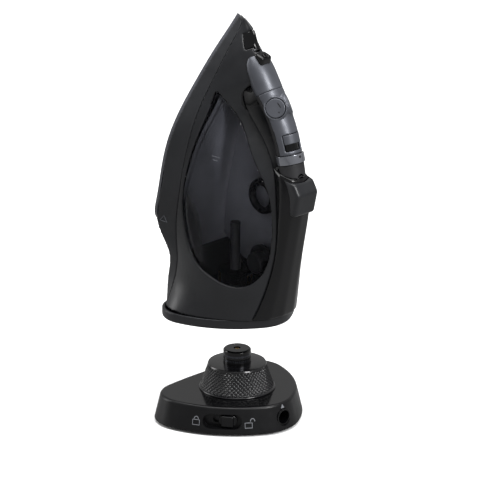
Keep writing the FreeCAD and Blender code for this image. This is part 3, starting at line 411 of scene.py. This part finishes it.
def button_marks():
    """A slanted bar and a dot on each thumb button."""
    bar = [(1.2, 4.6), (1.9, 5.0), (4.9, 0.9), (4.2, 0.5)]
    turns = [step * math.pi / 6 for step in range(12)]
    dot = [(3.2 + 0.65 * math.cos(turn), -3.6 + 0.65 * math.sin(turn)) for turn in turns]
    for name in ("spray", "burst"):
        joint = next(joint for joint in frame["joints"] if joint["child"] == name)
        out = -Vector(joint["axis"])
        low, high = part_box(name + "_button")
        middle = (low + high) / 2
        corners = [vertex.co for vertex in NODES[name + "_button"].data.vertices]
        top = max((corner - middle).dot(out) for corner in corners)
        disc = [corner for corner in corners if (corner - middle).dot(out) > top - 0.01 * MM]
        centre = sum(disc, Vector()) / len(disc)
        place = facing(centre, out, Vector((0, 0, 1)))
        plates(name + "_mark", [bar, dot], 0.12, place, name, [SILICONE])


def skirt_triangle(skirt):
    """A small raised caution triangle, outline only, low on the skirt's near side."""
    place = on_surface(skirt, IRON @ Vector((95 * MM, 62 * MM, 11.5 * MM)), TO_NOSE)
    edge = [(0, -2.2), (3.4, -2.2), (0, 3.8), (-3.4, -2.2), (0, -2.2)]
    plates("skirt_triangle", [stroke(edge, 0.7)], 0.35, place, "iron", [FAINT_PRINT])


TO_IRON = IRON.inverted()
NOSE_CREST = 214 * MM
TANK_FLOOR = 34 * MM

shell = moulding("body_shell", SATIN_ABS, extra=[POLISHED_ABS])
repaint(shell, 1, lambda centre, normal: (
    (TO_IRON @ centre).x > NOSE_CREST and normal.dot(FROM_SOLE) > 0.74))
skirt = moulding("skirt", TEXTURED_PBT)
windows = [moulding("tank_window_" + side, SMOKED_WINDOW, 0.8, 20) for side in ("left", "right")]
near_window = min(windows, key=lambda window: sum(vertex.co.y for vertex in window.data.vertices))
moulding("rear_housing", POLISHED_ABS, 0.8, 40)
moulding("rear_block", SATIN_ABS, 0.6, 60)
moulding("heel_plate", SATIN_ABS)
# Grip top and cap in the satin grey whose lightness is partly painted sheen.
moulding("handle_front_cap", SATIN_PAINT_SHEEN_GREY, 0.6)
moulding("handle_upper", SATIN_PAINT_SHEEN_GREY, 0.6)
moulding("handle_lower", SOFT_TOUCH, 0.6)
moulding("handle_tail", SOFT_TOUCH, 0.6)
moulding("filler_door", POLISHED_ABS, 0.4, 8)
moulding("nozzle_housing", POLISHED_ABS, 0.4, 30)
moulding("steam_slider", SATIN_PAINT_SHEEN_GREY, 0.35, 4)
moulding("lock_slider", POLISHED_ABS, 0.4, 3)

tank_baffle_painted_light()
level_mark(near_window)
button_marks()
skirt_triangle(skirt)
machined("slider_bed", POLISHED_ABS)
machined("selector_ring", SMOKE_LACQUER, 0.5)
machined("selector_dot", SILICONE, 0.1)
machined("selector_neck", INNER_NYLON)
machined("spray_button", SATIN_PAINT_SHEEN_GREY, 0.15)
machined("burst_button", SATIN_PAINT_SHEEN_GREY, 0.15)
machined("spray_nozzle", POLISHED_ABS, 0.2)
machined("soleplate", CERAMIC_COAT, 0.5)
machined("pump_hose", SILICONE)

for node, material in {
    "water_tank": TANK_PLASTIC, "filler_neck": TANK_PLASTIC, "pickup_tube": INNER_NYLON,
    "intake_filter": INNER_NYLON, "heater_casting": CAST_ALUMINIUM, "heating_element": HEATED_STEEL,
    "steam_chamber_cover": CAST_ALUMINIUM, "chamber_gasket": RED_SILICONE, "thermostat": HEATED_STEEL,
    "thermal_fuse": HEATED_STEEL, "steam_valve": BRASS, "control_board": CIRCUIT_BOARD,
    "dock_socket": INNER_NYLON, "socket_contacts": BRASS, "wire_harness": GLASS_SLEEVE,
    "pump_block": INNER_NYLON, "spray_spring": ZINC_STEEL, "burst_spring": ZINC_STEEL,
    "door_pin": ZINC_STEEL, "heel_screws": ZINC_STEEL,
}.items():
    dressed(node, material)
# The tank's floor faces take the same pale grey: painted light for the lit inside of the tank.
NODES["water_tank"].data.materials.append(TANK_GREY_PAINTED_LIGHT)
repaint(NODES["water_tank"], 1, lambda centre, normal: (
    (TO_IRON @ centre).z < TANK_FLOOR and abs(normal.dot(FROM_SOLE)) > 0.7))


# ---------------------------------------------------------------- power base

SLOT_TURN = math.radians(34)
SLOT_ALONG = Vector((math.cos(SLOT_TURN), math.sin(SLOT_TURN), 0))
SLOT_MIDDLE = Vector((PLATE_X + 39.6 * MM, -46.3 * MM, BASE_TOP - 12.8 * MM))


def lock_marks(wall):
    """A closed and an open padlock, outline only, at the two ends of the lock's slot."""
    case = [(0, 0), (3.2, 0), (3.2, -4.6), (-3.2, -4.6), (-3.2, 0), (0, 0)]
    turns = [step * math.pi / 10 for step in range(11)]
    for name, shift, bow_x, bow_y in (("closed", -23.3, 0, 0.4), ("open", 24.2, 3.6, 1.2)):
        place = on_surface(wall, SLOT_MIDDLE + SLOT_ALONG * shift * MM, Vector((0, 0, 1)))
        bow = [(bow_x + 2 * math.cos(turn), bow_y + 2.6 * math.sin(turn)) for turn in turns]
        marks = [stroke(case, 0.6), stroke(bow, 0.6)]
        padlock = plates(f"padlock_{name}", marks, 0.15, place, "base", [PAD_PRINT])
        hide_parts("lock_icons")


# The base's cover in the blacker ABS with painted shade; its top faces in polished ABS.
cover = machined("base_cover", BASE_ABS_PAINTED_SHADE, 0.3, [POLISHED_ABS])
repaint(cover, 1, lambda centre, normal: normal.z > 0.9 and centre.z > BASE_TOP - 1 * MM)
lock_marks(cover)
machined("contact_post", POLISHED_ABS, 0.3)
machined("cord_bush", POLISHED_ABS, 0.3)
machined("base_bottom", TEXTURED_PBT)
machined("rubber_feet", RUBBER, 0.4)
for node, material in {
    "contact_rings": BLACK_NICKEL, "earth_pin": BRASS, "terminal_block": INNER_NYLON,
    "base_screws": ZINC_STEEL, "latch_bar": INNER_NYLON, "detent_spring": ZINC_STEEL,
    "alignment_mark": PAD_PRINT,
}.items():
    dressed(node, material)


def knurled_cone():
    """The docking cone, its flank cut with rows of small pyramids. Sizes are in millimetres."""
    foot = 34.0
    top = 25.7
    bore = 12.4
    rise = 23.7
    columns = 50
    row_high = 3.6
    depth = 1.5
    low = 1.5
    high = rise - 1.4

    def relief(turn, radius, height):
        if not low < height < high or radius < top:
            return 0.0
        along = turn * columns / (2 * math.pi)
        up = (height - low) / row_high
        waves = [1 - abs(2 * ((along + sign * up) % 1.0) - 1) for sign in (1, -1)]
        fade = min(1.0, (height - low) / 0.5, (high - height) / 0.5)
        return (min(waves) - 1) * depth * fade

    rows = 64
    profile = [(foot - 3, 0.0), (foot - 0.3, 0.0), (foot, 0.3), (foot, 1.2)]
    for row in range(rows + 1):
        height = low + (high - low) * row / rows
        profile.append((foot + (top + 0.2 - foot) * height / rise, height))
    profile += [
        (top + 0.3, rise - 0.7), (top + 0.1, rise - 0.15), (top - 0.5, rise), (bore + 0.05, rise),
        (bore + 0.05, rise - 2.5), (top - 3, rise - 2.5),
    ]
    mesh = spun(profile, Vector((DOCK.x, 0, BASE_TOP)), columns * 8, relief)
    piece = settle(mesh, "knurled_docking_cone", "base", [HARD_NYLON],
                   math.radians(60))
    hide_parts("knurled_cone")


knurled_cone()


# ---------------------------------------------------------------- studio

def floor():
    """A pale floor as the camera sees it; in reflections and bounce light it is a painted grey, which shades the
    object's reflections of it and the light it throws up.
    """
    mesh = bpy.data.meshes.new("floor")
    reach = 9.0
    corners = [(-reach, -reach, 0), (reach, -reach, 0), (reach, reach, 0), (-reach, reach, 0)]
    mesh.from_pydata(corners, [], [(0, 1, 2, 3)])
    piece = bpy.data.objects.new("studio_floor", mesh)
    bpy.context.scene.collection.objects.link(piece)
    material, tree = blank("pale_floor_painted_grey_reflections")
    seen = add(tree, "ShaderNodeBsdfDiffuse", {"Color": linear("#f6f6f6")})
    # Painted shade: the grey the floor shows in reflections and bounce light.
    painted_grey_in_reflections = add(tree, "ShaderNodeBsdfDiffuse", {"Color": linear("#8a8a8a")})
    direct = add(tree, "ShaderNodeLightPath").outputs["Is Camera Ray"]
    mix = add(tree, "ShaderNodeMixShader", links={0: direct, 1: painted_grey_in_reflections.outputs[0], 2: seen.outputs[0]})
    add(tree, "ShaderNodeOutputMaterial", links={"Surface": mix.outputs[0]})
    mesh.materials.append(material)


floor()


def softbox(name, at, target, wide, high, power):
    """A rectangular lamp at one point, turned towards another."""
    lamp = bpy.data.lights.new(name, "AREA")
    lamp.shape = "RECTANGLE"
    lamp.size = wide
    lamp.size_y = high
    lamp.energy = power
    holder = bpy.data.objects.new(name, lamp)
    holder.location = at
    holder.rotation_euler = (Vector(target) - Vector(at)).to_track_quat("-Z", "Y").to_euler()
    bpy.context.scene.collection.objects.link(holder)


MIDDLE = (0, 0, 0.2)
softbox("top_light", (0.0, 0.0, 3.4), MIDDLE, 3.2, 3.2, 150)
softbox("left_light", (-1.5, -0.9, 0.7), MIDDLE, 0.7, 1.5, 12)
softbox("grip_light", (1.7, 0.0, 1.35), (0.04, 0, 0.28), 0.7, 0.9, 34)

world = bpy.data.worlds.new("studio")
world.use_nodes = True
world.node_tree.nodes["Background"].inputs["Color"].default_value = (1, 1, 1, 1)
world.node_tree.nodes["Background"].inputs["Strength"].default_value = 0.42
bpy.context.scene.world = world
bpy.context.scene.view_settings.view_transform = "Standard"


def camera():
    """A long lens on the iron's near side, looking a little down."""
    turn = math.radians(46)
    dip = math.radians(20.5)
    right = Vector((math.cos(turn), math.sin(turn), 0))
    up = Vector((-math.sin(turn) * math.sin(dip), math.cos(turn) * math.sin(dip), math.cos(dip)))
    forward = up.cross(right)
    target = Vector((PLATE_X, 0, BASE_TOP)) + right * 18.75 * MM + up * 118.75 * MM
    distance = 8.0
    field = 446.4 * MM
    data = bpy.data.cameras.new("camera")
    data.sensor_width = 36
    data.lens = data.sensor_width * distance / field
    holder = bpy.data.objects.new("camera", data)
    holder.matrix_world = Matrix.Translation(target - forward * distance) @ Matrix(
        (right, up, -forward)).transposed().to_4x4()
    bpy.context.scene.collection.objects.link(holder)
    bpy.context.scene.camera = holder


camera()
